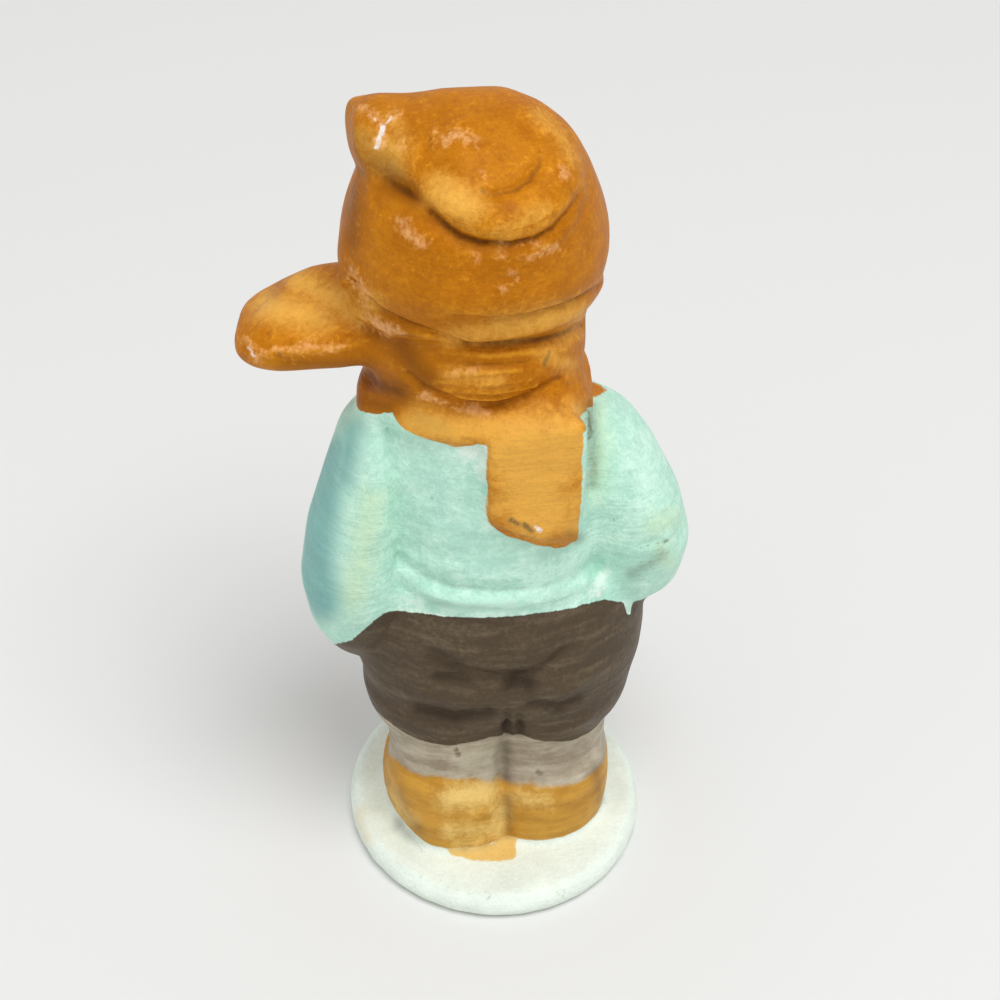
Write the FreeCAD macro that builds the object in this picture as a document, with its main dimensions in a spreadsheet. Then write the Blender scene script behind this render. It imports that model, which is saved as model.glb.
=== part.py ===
import FreeCAD, Part
import os
import Sketcher

# Small cast plaster figure in a stocking cap, standing on an oval base.
# Frame: origin at the centre of the base's underside, +Z up, the figure faces -Y,
# and its left hand is towards +X. All lengths are millimetres.

SIZES = {
    # oval base
    "base_width": 24.0,
    "base_depth": 26.8,
    "base_thickness": 2.2,
    "base_rim_round": 0.9,
    # boots
    "shoe_width": 11.7,
    "shoe_length": 17.0,
    "shoe_height": 6.6,
    "shoe_back": 7.7,
    "ankle_depth": 11.6,
    "toe_height": 4.2,
    # bare legs, pressed together in the mould, so each is more than half of the pair
    "leg_spacing": 6.4,
    "leg_width": 11.1,
    "leg_depth": 8.8,
    "leg_length": 3.7,
    "leg_back": 6.4,
    # shorts
    "shorts_leg_spacing": 7.2,
    "shorts_leg_width": 14.3,
    "shorts_leg_depth": 14.6,
    "shorts_leg_height": 3.6,
    "shorts_width": 22.6,
    "shorts_side": -0.5,
    "shorts_depth": 17.2,
    "seat_height": 10.9,
    "seat_back": 8.7,
    # jumper
    "hem_width": 18.8,
    "hem_depth": 16.2,
    "hem_height": 3.4,
    "hem_back": 8.3,
    "jumper_width": 18.0,
    "jumper_depth": 15.2,
    "jumper_height": 12.6,
    "jumper_back": 8.0,
    # sleeves: the right one starts lower on the shoulder and its hand sits higher in the
    # pocket, and each parts from the jumper at its own distance from the middle
    "sleeve_thickness": 8.2,
    "sleeve_depth": 10.6,
    "right_sleeve_drop": 1.5,
    "left_sleeve_height": 25.2,
    "right_sleeve_height": 20.7,
    "left_parting": 8.4,
    "right_parting": 6.6,
    "elbow_reach": 14.9,
    "elbow_back": 1.4,
    # scarf
    "yoke_width": 18.0,
    "yoke_depth": 14.8,
    "yoke_height": 2.2,
    "yoke_back": 8.2,
    "yoke_side": 1.1,
    "wrap_width": 16.4,
    "wrap_depth": 15.6,
    "wrap_height": 5.4,
    "wrap_shift": 0.6,
    "wrap_side": 0.2,
    "scarf_end_width": 7.0,
    "scarf_end_length": 12.0,
    "scarf_end_slant": 3.4,
    "scarf_end_proud": 1.2,
    "scarf_end_thickness": 2.6,
    "scarf_end_side": -1.8,
    # neck and head, which lean forward
    "neck_lift": 1.5,
    "neck_side": 1.25,
    "head_lean_angle": 12.0,
    "head_width": 14.4,
    "head_depth": 14.0,
    "head_bulge": 0.4,
    # bill
    "bill_width": 10.7,
    "bill_thickness": 4.8,
    "bill_reach": 18.4,
    "bill_lift": 4.0,
    "bill_forward": 0.5,
    "bill_droop": 1.5,
    "bill_turn_angle": -9.0,
    # cap
    "brim_width": 18.3,
    "brim_depth": 17.6,
    "brim_height": 2.2,
    "brim_shift": 1.4,
    "crown_radius": 9.35,
    "crown_height": 12.5,
    "crown_shift": 2.4,
    # folded tail of the cap: a wound bun, the roll over it and the blunt tip
    "bun_radius": 5.3,
    "bun_proud": 1.0,
    "bun_tilt_angle": 34.0,
    "roll_length": 10.2,
    "roll_depth": 9.8,
    "roll_height": 7.2,
    "roll_start": -5.6,
    "roll_back": 0.6,
    "roll_sink": 2.1,
    "tip_length": 4.9,
    "tip_forward": 3.4,
    "tip_lift": 0.35,
}

# Every cross-section is an oval drawn as a polygon with this many sides
SIDES = 28

# Turns a section from facing up to facing the figure's left
FACING_LEFT = FreeCAD.Rotation(FreeCAD.Vector(1, 1, 1), 120)


def make_sheet(doc):
    sheet = doc.addObject("Spreadsheet::Sheet", "sizes")
    for row, (name, value) in enumerate(SIZES.items(), start=1):
        sheet.set(f"A{row}", name)
        sheet.set(f"B{row}", str(value))
        sheet.setAlias(f"B{row}", name)
    doc.recompute()
    return sheet


def put_at(item, place):
    for axis, value in zip("xyz", place):
        item.setExpression(f"Placement.Base.{axis}", value)


def oval(doc, name, width, depth, place, turn=FreeCAD.Rotation()):
    outline = doc.addObject("Part::RegularPolygon", name + "_outline")
    outline.Polygon = SIDES
    outline.setExpression("Circumradius", f"({width}) / 2")
    section = doc.addObject("Part::Scale", name)
    section.Base = outline
    section.Uniform = False
    section.setExpression("YScale", f"({depth}) / ({width})")
    section.Placement = FreeCAD.Placement(FreeCAD.Vector(), turn)
    put_at(section, place)
    return section


def loft(doc, label, sections):
    form = doc.addObject("Part::Loft", label)
    form.Label = label
    form.Sections = sections
    form.Solid = True
    form.Ruled = True
    return form


def upright_loft(doc, label, width, depth, height, centre, foot, shares, side=1):
    # each row of shares: height, size, then how far the section moves out and back
    sections = []
    for index, (up, size, out, back) in enumerate(shares):
        place = (
            f"{centre[0]} + {side * out} * {width}",
            f"{centre[1]} + {back} * {depth}",
            f"{foot} + {up} * {height}",
        )
        sections.append(oval(doc, f"{label}_{index}", f"{size} * {width}", f"{size} * {depth}", place))
    return loft(doc, label, sections)


def cut(doc, label, form, *tools):
    # the finished piece is its form without what its neighbours take up
    form.Label = label + "_form"
    shape = form
    for tool in tools:
        step = doc.addObject("Part::Cut", f"{label}_less_{tool.Name}")
        step.Base = shape
        step.Tool = tool
        shape = step
    shape.Label = label
    return shape


def within(doc, label, form, block):
    # the finished piece is what the block holds of its form
    form.Label = label + "_form"
    piece = doc.addObject("Part::Common", label)
    piece.Base = form
    piece.Tool = block
    piece.Label = label
    return piece


# Levels where one piece stands on the next
BASE_TOP = "sizes.base_thickness"
SHOE_TOP = f"({BASE_TOP} + sizes.shoe_height)"
LEG_TOP = f"({SHOE_TOP} + sizes.leg_length)"
CROTCH = f"({LEG_TOP} + sizes.shorts_leg_height)"
WAIST = f"({CROTCH} + sizes.seat_height)"
BLOUSE_TOP = f"({WAIST} + sizes.hem_height)"
SHOULDER = f"({BLOUSE_TOP} + sizes.jumper_height)"
NECK_FOOT = f"({SHOULDER} + sizes.neck_lift)"

# Levels along the leaning neck, counted from its foot
BRIM_FOOT = "sizes.wrap_height"
CROWN_FOOT = f"({BRIM_FOOT} + sizes.brim_height)"
CROWN_MIDDLE = f"({CROWN_FOOT} + sizes.crown_height - sizes.crown_radius)"
CROWN_TOP = f"({NECK_FOOT} + {CROWN_FOOT} + sizes.crown_height)"


def lean(item):
    # the neck leans forward over its foot, so the back of the cap stands higher
    item.Placement = FreeCAD.Placement(FreeCAD.Vector(), FreeCAD.Rotation(FreeCAD.Vector(1, 0, 0), 0))
    put_at(item, ("sizes.neck_side", "0", NECK_FOOT))
    item.setExpression("Placement.Rotation.Angle", "sizes.head_lean_angle")
    return item


# height, then how much of the rim's rounding is taken off the outline
BASE_SHARES = (
    (0.00, 1.00),
    (0.06, 0.55),
    (0.20, 0.14),
    (0.42, 0.00),
    (0.68, 0.12),
    (0.88, 0.45),
    (1.00, 1.00),
)


def base_disc(doc):
    sections = []
    for index, (up, inset) in enumerate(BASE_SHARES):
        less = f"2 * {inset} * sizes.base_rim_round"
        place = ("0", "0", f"{up} * sizes.base_thickness")
        sections.append(oval(doc, f"base_{index}", f"sizes.base_width - {less}",
                             f"sizes.base_depth - {less}", place))
    return loft(doc, "base_disc", sections)


SHOE_FOOT_SHARES = (
    (0.00, 0.96, 0.0, 0.00),
    (0.30, 1.00, 0.0, 0.00),
    (0.60, 0.96, 0.0, 0.00),
    (0.85, 0.84, 0.0, 0.02),
    (1.00, 0.68, 0.0, 0.04),
)
SHOE_ANKLE_SHARES = (
    (0.00, 0.91, 0.0, 0.03),
    (0.20, 0.97, 0.0, 0.01),
    (0.45, 1.00, 0.0, 0.00),
    (0.80, 0.99, 0.0, 0.00),
    (1.00, 0.95, 0.0, 0.00),
)


def side_half(doc, label, side):
    # the block on one side of the middle, as wide as the legs need
    block = doc.addObject("Part::Box", label + "_half")
    put_at(block, (f"({side} - 1) * sizes.base_width / 2", "-sizes.base_depth", "0"))
    block.setExpression("Length", "sizes.base_width")
    block.setExpression("Width", "2 * sizes.base_depth")
    block.setExpression("Height", WAIST)
    return block


def shoe(doc, label, side, half):
    across = f"{side} * sizes.leg_spacing / 2"
    foot = upright_loft(doc, f"{label}_foot", "sizes.shoe_width", "sizes.shoe_length", "sizes.toe_height",
                        (across, "sizes.shoe_back - sizes.shoe_length / 2"), BASE_TOP, SHOE_FOOT_SHARES)
    ankle = upright_loft(doc, f"{label}_ankle", "sizes.shoe_width", "sizes.ankle_depth", "sizes.shoe_height",
                         (across, "sizes.shoe_back - sizes.ankle_depth / 2"), BASE_TOP, SHOE_ANKLE_SHARES)
    boot = doc.addObject("Part::Fuse", label + "_whole")
    boot.Base = foot
    boot.Tool = ankle
    return within(doc, label, boot, half)


LEG_SHARES = (
    (0.00, 0.97, 0.0, 0.0),
    (1.00, 1.00, 0.0, 0.0),
)


def leg(doc, label, side, half):
    across = f"{side} * sizes.leg_spacing / 2"
    form = upright_loft(doc, label + "_form", "sizes.leg_width", "sizes.leg_depth", "sizes.leg_length",
                        (across, "sizes.leg_back - sizes.leg_depth / 2"), SHOE_TOP, LEG_SHARES)
    return within(doc, label, form, half)


SHORTS_LEG_SHARES = (
    (0.00, 0.88, -0.03, 0.0),
    (0.15, 0.94, -0.02, 0.0),
    (0.50, 0.98, -0.01, 0.0),
    (1.00, 1.00, 0.00, 0.0),
)
SEAT_SHARES = (
    (0.00, 0.94, 0.0, 0.000),
    (0.15, 0.98, 0.0, 0.000),
    (0.40, 1.00, 0.0, 0.000),
    (0.62, 0.99, 0.0, 0.000),
    (0.82, 0.95, 0.0, 0.005),
    (1.00, 0.88, 0.0, 0.010),
)


def shorts_leg(doc, label, side, half):
    across = f"{side} * sizes.shorts_leg_spacing / 2 + sizes.shorts_side / 2"
    form = upright_loft(doc, label + "_form", "sizes.shorts_leg_width", "sizes.shorts_leg_depth",
                        "sizes.shorts_leg_height", (across, "sizes.seat_back - sizes.shorts_depth / 2"),
                        LEG_TOP, SHORTS_LEG_SHARES, side)
    return within(doc, label, form, half)


def shorts_seat(doc):
    return upright_loft(doc, "shorts_seat", "sizes.shorts_width", "sizes.shorts_depth", "sizes.seat_height",
                        ("sizes.shorts_side", "sizes.seat_back - sizes.shorts_depth / 2"), CROTCH, SEAT_SHARES)


HEM_SHARES = (
    (0.00, 0.96, 0.0, 0.00),
    (0.25, 0.99, 0.0, 0.00),
    (0.55, 1.00, 0.0, 0.00),
    (0.85, 0.97, 0.0, 0.00),
    (1.00, 0.93, 0.0, 0.00),
)
JUMPER_SHARES = (
    (0.00, 0.97, 0.0, 0.00),
    (0.35, 1.00, 0.0, 0.00),
    (0.70, 0.99, 0.0, 0.00),
    (0.88, 0.96, 0.0, 0.01),
    (1.00, 0.91, 0.0, 0.02),
)


def trunk_core(doc):
    # the block between the two parting planes, where the jumper meets the sleeves
    block = doc.addObject("Part::Box", "trunk_core")
    put_at(block, ("-sizes.right_parting", "-sizes.hem_depth", WAIST))
    block.setExpression("Length", "sizes.left_parting + sizes.right_parting")
    block.setExpression("Width", "2 * sizes.hem_depth")
    block.setExpression("Height", "sizes.hem_height + sizes.jumper_height")
    return block


def jumper_hem(doc, core):
    form = upright_loft(doc, "hem_form", "sizes.hem_width", "sizes.hem_depth", "sizes.hem_height",
                        ("0", "sizes.hem_back - sizes.hem_depth / 2"), WAIST, HEM_SHARES)
    return within(doc, "jumper_hem", form, core)


def jumper_body(doc, core):
    form = upright_loft(doc, "body_form", "sizes.jumper_width", "sizes.jumper_depth", "sizes.jumper_height",
                        ("0", "sizes.jumper_back - sizes.jumper_depth / 2"), BLOUSE_TOP, JUMPER_SHARES)
    return within(doc, "jumper_body", form, core)


# each sleeve hangs from the shoulder, bulges at the elbow and turns forward into the pocket
LEFT_SLEEVE_SHARES = (
    (0.00, 0.45, -0.16, -0.40),
    (0.09, 0.78, -0.10, -0.26),
    (0.21, 0.93, -0.05, -0.12),
    (0.38, 1.00, -0.01, -0.02),
    (0.57, 0.99, -0.09, 0.00),
    (0.77, 0.90, -0.24, -0.02),
    (0.91, 0.76, -0.31, -0.03),
    (1.00, 0.50, -0.40, -0.04),
)
RIGHT_SLEEVE_SHARES = (
    (0.00, 0.45, -0.16, -0.40),
    (0.10, 0.80, -0.08, -0.26),
    (0.22, 0.95, -0.03, -0.12),
    (0.40, 1.00, -0.01, -0.02),
    (0.60, 0.97, -0.12, 0.00),
    (0.81, 0.86, -0.31, -0.02),
    (0.92, 0.68, -0.40, -0.03),
    (1.00, 0.40, -0.50, -0.04),
)


def sleeve_form(doc, label, side, top, shares):
    height = f"sizes.{label}_height"
    across = f"{side} * (sizes.elbow_reach - sizes.sleeve_thickness / 2)"
    return upright_loft(doc, f"{label}_form", "sizes.sleeve_thickness", "sizes.sleeve_depth", height,
                        (across, "sizes.elbow_back"), f"{top} - {height}", shares, side)


YOKE_SHARES = (
    (0.00, 1.00, 0.0, 0.00),
    (0.50, 0.97, 0.0, 0.01),
    (1.00, 0.84, 0.0, 0.02),
)
WRAP_SHARES = (
    (0.00, 0.92, 0.0, 0.0),
    (0.20, 0.98, 0.0, 0.0),
    (0.50, 1.00, 0.0, 0.0),
    (1.00, 0.97, 0.0, 0.0),
)


def scarf_yoke_form(doc):
    return upright_loft(doc, "yoke_form", "sizes.yoke_width", "sizes.yoke_depth", "sizes.yoke_height",
                        ("sizes.yoke_side", "sizes.yoke_back - sizes.yoke_depth / 2"), SHOULDER, YOKE_SHARES)


def scarf_wrap_form(doc):
    return lean(upright_loft(doc, "wrap_form", "sizes.wrap_width", "sizes.wrap_depth", "sizes.wrap_height",
                             ("sizes.wrap_side", "sizes.wrap_shift"), "0", WRAP_SHARES))


def bind(sketch, name, kind, places, drawn, expression):
    number = sketch.addConstraint(Sketcher.Constraint(kind, *places, drawn))
    sketch.renameConstraint(number, name)
    sketch.setExpression(f"Constraints.{name}", expression)


def scarf_end_outline(body):
    # a strap with a slanting end, drawn on the upright plane across the figure
    sketch = body.newObject("Sketcher::SketchObject", "scarf_end_outline")
    plane = next(feature for feature in body.Origin.OriginFeatures if feature.Role == "XZ_Plane")
    sketch.AttachmentSupport = [(plane, "")]
    sketch.MapMode = "FlatFace"
    top = f"({SHOULDER} + sizes.yoke_height)"
    sketch.setExpression("AttachmentOffset.Base.x", "sizes.scarf_end_side")
    sketch.setExpression("AttachmentOffset.Base.y", f"{top} - sizes.scarf_end_length")
    sketch.setExpression("AttachmentOffset.Base.z", "-(sizes.jumper_back + sizes.scarf_end_proud)")
    corners = [FreeCAD.Vector(x, y, 0) for x, y in ((-1, 0), (1, 1), (1, 4), (-1, 4))]
    for first, last in zip(corners, corners[1:] + corners[:1]):
        sketch.addGeometry(Part.LineSegment(first, last), False)
    for edge in range(4):
        sketch.addConstraint(Sketcher.Constraint("Coincident", edge, 2, (edge + 1) % 4, 1))
    sketch.addConstraint(Sketcher.Constraint("Vertical", 1))
    sketch.addConstraint(Sketcher.Constraint("Vertical", 3))
    sketch.addConstraint(Sketcher.Constraint("Horizontal", 2))
    sketch.addConstraint(Sketcher.Constraint("PointOnObject", 0, 1, -1))
    half = "sizes.scarf_end_width / 2"
    bind(sketch, "left", "DistanceX", (0, 1, -1, 1), 1, half)
    bind(sketch, "right", "DistanceX", (-1, 1, 0, 2), 1, half)
    bind(sketch, "slant", "DistanceY", (0, 1, 0, 2), 1, "sizes.scarf_end_slant")
    bind(sketch, "height", "DistanceY", (-1, 1, 2, 1), 4, "sizes.scarf_end_length")
    return sketch


def scarf_end_form(doc):
    body = doc.addObject("PartDesign::Body", "scarf_end")
    pad = body.newObject("PartDesign::Pad", "scarf_end_pad")
    pad.Profile = scarf_end_outline(body)
    pad.setExpression("Length", "sizes.scarf_end_thickness")
    body.Tip = pad
    return body


HEAD_SHARES = (
    (0.00, 0.90, 0.0, 0.0),
    (1.00, 1.00, 0.0, 0.0),
)


def head_piece(doc):
    return lean(upright_loft(doc, "head", "sizes.head_width", "sizes.head_depth", "sizes.wrap_height",
                             ("sizes.head_bulge", "sizes.wrap_shift"), "0", HEAD_SHARES))


# reach, size, droop
BILL_SHARES = (
    (0.25, 1.12, 0.00),
    (0.45, 1.03, 0.10),
    (0.65, 0.99, 0.36),
    (0.82, 0.95, 0.66),
    (0.92, 0.80, 0.86),
    (0.98, 0.58, 0.97),
    (1.00, 0.36, 1.00),
)


def bill_form(doc):
    sections = []
    for index, (reach, size, droop) in enumerate(BILL_SHARES):
        place = (f"{reach} * sizes.bill_reach", "-sizes.bill_forward",
                 f"{NECK_FOOT} + sizes.bill_lift - {droop} * sizes.bill_droop")
        sections.append(oval(doc, f"bill_{index}", f"{size} * sizes.bill_width",
                             f"{size} * sizes.bill_thickness", place, FACING_LEFT))
    form = loft(doc, "bill_form", sections)
    form.setExpression("Placement.Rotation.Angle", "sizes.bill_turn_angle")
    return form


BRIM_SHARES = (
    (0.00, 0.94, 0.0, 0.0),
    (0.25, 0.99, 0.0, 0.0),
    (0.60, 1.00, 0.0, 0.0),
    (1.00, 0.96, 0.0, 0.0),
)


def cap_brim(doc):
    return lean(upright_loft(doc, "cap_brim", "sizes.brim_width", "sizes.brim_depth", "sizes.brim_height",
                             ("0", "sizes.brim_shift"), BRIM_FOOT, BRIM_SHARES))


CROWN_SHARES = (0.0, 0.16, 0.32, 0.47, 0.61, 0.74, 0.85, 0.93, 0.98, 0.998)


def cap_crown(doc):
    # a ball cut off at the brim: each section's width follows the circle of the crown
    sections = []
    for index, share in enumerate(CROWN_SHARES):
        level = f"({CROWN_FOOT} + {share} * sizes.crown_height)"
        width = f"2 * sqrt(sizes.crown_radius ^ 2 - ({level} - {CROWN_MIDDLE}) ^ 2)"
        sections.append(oval(doc, f"crown_{index}", width, width, ("0", "sizes.crown_shift", level)))
    return lean(loft(doc, "cap_crown", sections))


# distance from the middle of the crown, then width
BUN_SHARES = (
    (0.50, 1.00),
    (0.84, 1.00),
    (0.92, 0.90),
    (0.98, 0.66),
    (1.00, 0.36),
)
BUN_TURN_SHARES = (-0.948, -0.317, 0.0)


def cap_fold_form(doc):
    # the wound bun stands on the crown like a button, tilted back and to the right
    sections = []
    for index, (level, wide) in enumerate(BUN_SHARES):
        width = f"2 * {wide} * sizes.bun_radius"
        place = ("0", "0", f"{level} * (sizes.crown_radius + sizes.bun_proud)")
        sections.append(oval(doc, f"bun_{index}", width, width, place))
    form = loft(doc, "bun_form", sections)
    turn = FreeCAD.Rotation(FreeCAD.Vector(*BUN_TURN_SHARES), 0)
    form.Placement = FreeCAD.Placement(FreeCAD.Vector(), turn)
    cosine = "cos(sizes.head_lean_angle)"
    sine = "sin(sizes.head_lean_angle)"
    put_at(form, ("sizes.neck_side", f"sizes.crown_shift * {cosine} - {CROWN_MIDDLE} * {sine}",
                  f"{NECK_FOOT} + sizes.crown_shift * {sine} + {CROWN_MIDDLE} * {cosine}"))
    form.setExpression("Placement.Rotation.Angle", "sizes.bun_tilt_angle")
    return form


# along the roll: place, size, then how far it moves back and up
ROLL_SHARES = (
    (0.00, 0.40, 0.04, -0.24),
    (0.08, 0.64, 0.03, -0.17),
    (0.22, 0.87, 0.02, -0.08),
    (0.45, 1.00, 0.00, 0.00),
    (0.75, 0.98, -0.02, -0.01),
    (1.00, 0.90, -0.04, -0.03),
)
# along the tip: place, size, then how far it has moved forward and up
TIP_SHARES = (
    (0.00, 0.90, 0.10, -1.00),
    (0.35, 0.82, 0.35, -0.40),
    (0.65, 0.70, 0.65, 0.30),
    (0.86, 0.66, 0.86, 0.80),
    (0.97, 0.52, 0.97, 1.00),
    (1.00, 0.34, 1.00, 1.00),
)


def roll_section(doc, name, along, size, back, up):
    place = (f"sizes.roll_start + {along}", f"sizes.roll_back + {back}",
             f"{CROWN_TOP} - sizes.roll_sink + {up}")
    return oval(doc, name, f"{size} * sizes.roll_depth", f"{size} * sizes.roll_height", place, FACING_LEFT)


def cap_roll_form(doc):
    sections = []
    for index, (along, size, back, up) in enumerate(ROLL_SHARES):
        sections.append(roll_section(doc, f"roll_{index}", f"{along} * sizes.roll_length", size,
                                     f"{back} * sizes.roll_depth", f"{up} * sizes.roll_height"))
    return loft(doc, "roll_form", sections)


def cap_tip_form(doc):
    sections = []
    for index, (along, size, forward, up) in enumerate(TIP_SHARES):
        sections.append(roll_section(doc, f"tip_{index}", f"sizes.roll_length + {along} * sizes.tip_length",
                                     size, f"-{forward} * sizes.tip_forward", f"{up} * sizes.tip_lift"))
    return loft(doc, "tip_form", sections)


def legs_and_boots(doc):
    pieces = []
    for label, side in (("left", 1), ("right", -1)):
        half = side_half(doc, label, side)
        pieces.append(shoe(doc, f"{label}_shoe", side, half))
        pieces.append(leg(doc, f"{label}_leg", side, half))
        pieces.append(shorts_leg(doc, f"{label}_shorts_leg", side, half))
    return pieces


def main():
    doc = FreeCAD.newDocument("figure")
    make_sheet(doc)
    seat = shorts_seat(doc)
    core = trunk_core(doc)
    hem = jumper_hem(doc, core)
    jumper = jumper_body(doc, core)
    head = head_piece(doc)
    brim = cap_brim(doc)
    crown = cap_crown(doc)
    bill = cut(doc, "bill", bill_form(doc), head, brim)
    wrap = cut(doc, "scarf_wrap", scarf_wrap_form(doc), head, bill)
    yoke = cut(doc, "scarf_yoke", scarf_yoke_form(doc), wrap, head)
    end = cut(doc, "scarf_tail", scarf_end_form(doc), jumper, yoke, wrap)
    left_form = sleeve_form(doc, "left_sleeve", 1, SHOULDER, LEFT_SLEEVE_SHARES)
    right_top = f"{SHOULDER} - sizes.right_sleeve_drop"
    right_form = sleeve_form(doc, "right_sleeve", -1, right_top, RIGHT_SLEEVE_SHARES)
    left = cut(doc, "left_sleeve", left_form, core, seat)
    right = cut(doc, "right_sleeve", right_form, core, seat)
    fold = cut(doc, "cap_fold", cap_fold_form(doc), crown)
    tail = cut(doc, "cap_tail", cap_roll_form(doc), crown, fold)
    tip = cut(doc, "cap_tip", cap_tip_form(doc), crown, fold)
    trunk = [seat, hem, jumper, left, right, yoke, wrap, end]
    top = [head, bill, brim, crown, fold, tail, tip]
    pieces = [base_disc(doc)] + legs_and_boots(doc) + trunk + top
    doc.recompute()
    write_pieces(doc, pieces)


def write_pieces(doc, pieces):
    for item in doc.Objects:
        if "Invalid" in item.State or "Error" in item.State:
            raise RuntimeError(f"{item.Label} is {item.State}")
    for piece in pieces:
        if piece.Shape.isNull() or not piece.Shape.isValid():
            raise RuntimeError(f"{piece.Label} has no valid shape")
        if len(piece.Shape.Solids) != 1:
            raise RuntimeError(f"{piece.Label} isn't one solid")
    os.makedirs("parts", exist_ok=True)
    for piece in pieces:
        piece.Shape.exportStep(os.path.join("parts", piece.Label + ".step"))
        print(piece.Label, round(piece.Shape.Volume, 1))


main()
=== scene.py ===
import bpy
import bmesh
import math
import numpy as np
from mathutils import Matrix, Vector
from mathutils.bvhtree import BVHTree
from mathutils.kdtree import KDTree


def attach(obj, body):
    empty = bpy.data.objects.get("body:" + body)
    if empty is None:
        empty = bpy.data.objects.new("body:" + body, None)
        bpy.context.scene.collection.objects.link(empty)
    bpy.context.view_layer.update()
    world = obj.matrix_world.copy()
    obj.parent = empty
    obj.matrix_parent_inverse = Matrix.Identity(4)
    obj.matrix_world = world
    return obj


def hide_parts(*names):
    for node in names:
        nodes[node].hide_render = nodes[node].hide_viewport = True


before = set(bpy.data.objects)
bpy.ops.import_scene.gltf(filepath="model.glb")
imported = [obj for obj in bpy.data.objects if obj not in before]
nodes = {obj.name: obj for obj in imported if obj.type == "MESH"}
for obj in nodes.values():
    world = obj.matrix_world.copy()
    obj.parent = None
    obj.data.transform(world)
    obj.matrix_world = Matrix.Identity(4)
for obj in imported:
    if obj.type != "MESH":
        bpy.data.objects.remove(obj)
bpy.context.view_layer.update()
scene = bpy.context.scene
scene.view_settings.view_transform = "Standard"

# Everything is shaped in millimetres, on one skin over the CAD solids, and then
# divided again into the pieces of the casting.
millimetre = 0.001

# The photograph's view: shape lines and marks of wear, dirt, painted shade and painted highlight are
# given where they show in it, on 1000 by 1000 points, and each is laid onto the skin through the camera.
photoView = {
    "azimuth": 171.0,
    "elevation": 38.0,
    "angle": 24.0,
    "distance": 177.0,
    "aim": (-0.52, 0.08, 31.9),
    "half": 500,  # photograph points from its middle to its edge
    "sensor": 36,  # mm
    "clip": (0.01, 10),  # m
}


def viewAxes(view):
    turn = math.radians(view["azimuth"])
    rise = math.radians(view["elevation"])
    back = Vector((math.sin(turn) * math.cos(rise), -math.cos(turn) * math.cos(rise), math.sin(rise)))
    right = (-back).cross(Vector((0, 0, 1))).normalized()
    return right, right.cross(-back), back


viewRight, viewUp, viewBack = viewAxes(photoView)
eye = Vector(photoView["aim"]) + viewBack * photoView["distance"]
photoHalf = photoView["half"]
focal = photoHalf / math.tan(math.radians(photoView["angle"] / 2))


def inPhoto(points):
    # where points of the skin show in the photograph, and how far along the view they lie
    away = points - np.array(eye)
    depth = -(away @ np.array(viewBack))
    across = photoHalf + focal * (away @ np.array(viewRight)) / depth
    down = photoHalf - focal * (away @ np.array(viewUp)) / depth
    return np.stack([across, down], 1), depth


def throughPhoto(tree, spot):
    ray = -viewBack * focal + viewRight * (spot[0] - photoHalf) + viewUp * (photoHalf - spot[1])
    return tree.ray_cast(eye, ray.normalized())[0]


def spaced(points, gap):
    # the same line with a point every gap
    line = np.array(points, float)
    out = [line[0]]
    for first, last in zip(line[:-1], line[1:]):
        count = max(1, int(np.linalg.norm(last - first) / gap))
        for step in range(1, count + 1):
            out.append(first + (last - first) * step / count)
    return np.array(out)


skinLook = {
    "merge": 0.0005,  # mm, points of the solids this near become one
    "voxel": 0.24,  # mm
    "underside": 0.15,  # mm, below this the skin stays flat
    "relaxSteps": 26,
    "relaxShare": 0.5,
    "baseShare": 0.2,
    "relaxHeights": [1.7, 2.5, 7.0],  # mm, relaxed in full, by baseShare, in full again
    "swell": 0.06,  # mm, gives back what relaxing takes away
    "softSteps": 10,  # the softened surface that hollows are told from
    "softShare": 0.6,
    "sharpAngle": 55,  # degrees
}

# how a line of spots works on the skin
strokeLook = {
    "step": 2,  # photograph points between two laid spots
    "gap": 0.12,  # mm between two points of the laid line
    "wave": (0.12, 0.88),  # part of a half wave by which a line fades to its ends
    "fade": 0.6,
    "reach": 3,  # widths
    "meltShare": 0.6,
    "meltLeast": 0.01,
}


def joinedSkin(names, voxel):
    whole = bmesh.new()
    for name in names:
        whole.from_mesh(nodes[name].data)
    bmesh.ops.scale(whole, vec=(1 / millimetre,) * 3, verts=whole.verts)
    bmesh.ops.remove_doubles(whole, verts=whole.verts, dist=skinLook["merge"])
    mesh = bpy.data.meshes.new("skinStart")
    whole.to_mesh(mesh)
    whole.free()
    holder = bpy.data.objects.new("skinStart", mesh)
    scene.collection.objects.link(holder)
    remesh = holder.modifiers.new("remesh", "REMESH")
    remesh.mode = "VOXEL"
    remesh.voxel_size = voxel
    skin = bpy.data.meshes.new_from_object(holder.evaluated_get(bpy.context.evaluated_depsgraph_get()))
    bpy.data.objects.remove(holder)
    bpy.data.meshes.remove(mesh)
    return skin


def readPoints(mesh):
    flat = np.empty(len(mesh.vertices) * 3)
    mesh.vertices.foreach_get("co", flat)
    return flat.reshape(-1, 3)


def writePoints(mesh, points):
    mesh.vertices.foreach_set("co", points.ravel())
    mesh.update()


def readNormals(mesh):
    flat = np.empty(len(mesh.vertices) * 3)
    mesh.vertex_normals.foreach_get("vector", flat)
    return flat.reshape(-1, 3)


def readEdges(mesh):
    flat = np.empty(len(mesh.edges) * 2, int)
    mesh.edges.foreach_get("vertices", flat)
    return flat.reshape(-1, 2)


def averaged(values, edges, count):
    total = np.bincount(edges[:, 0], values[edges[:, 1]], count)
    total += np.bincount(edges[:, 1], values[edges[:, 0]], count)
    return total / np.bincount(edges.ravel(), minlength=count)


def relaxed(points, edges, steps, share):
    points = points.copy()
    for _ in range(steps):
        moved = np.stack([averaged(points[:, axis], edges, len(points)) for axis in range(3)], 1)
        points += (moved - points) * share
    return points


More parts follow.
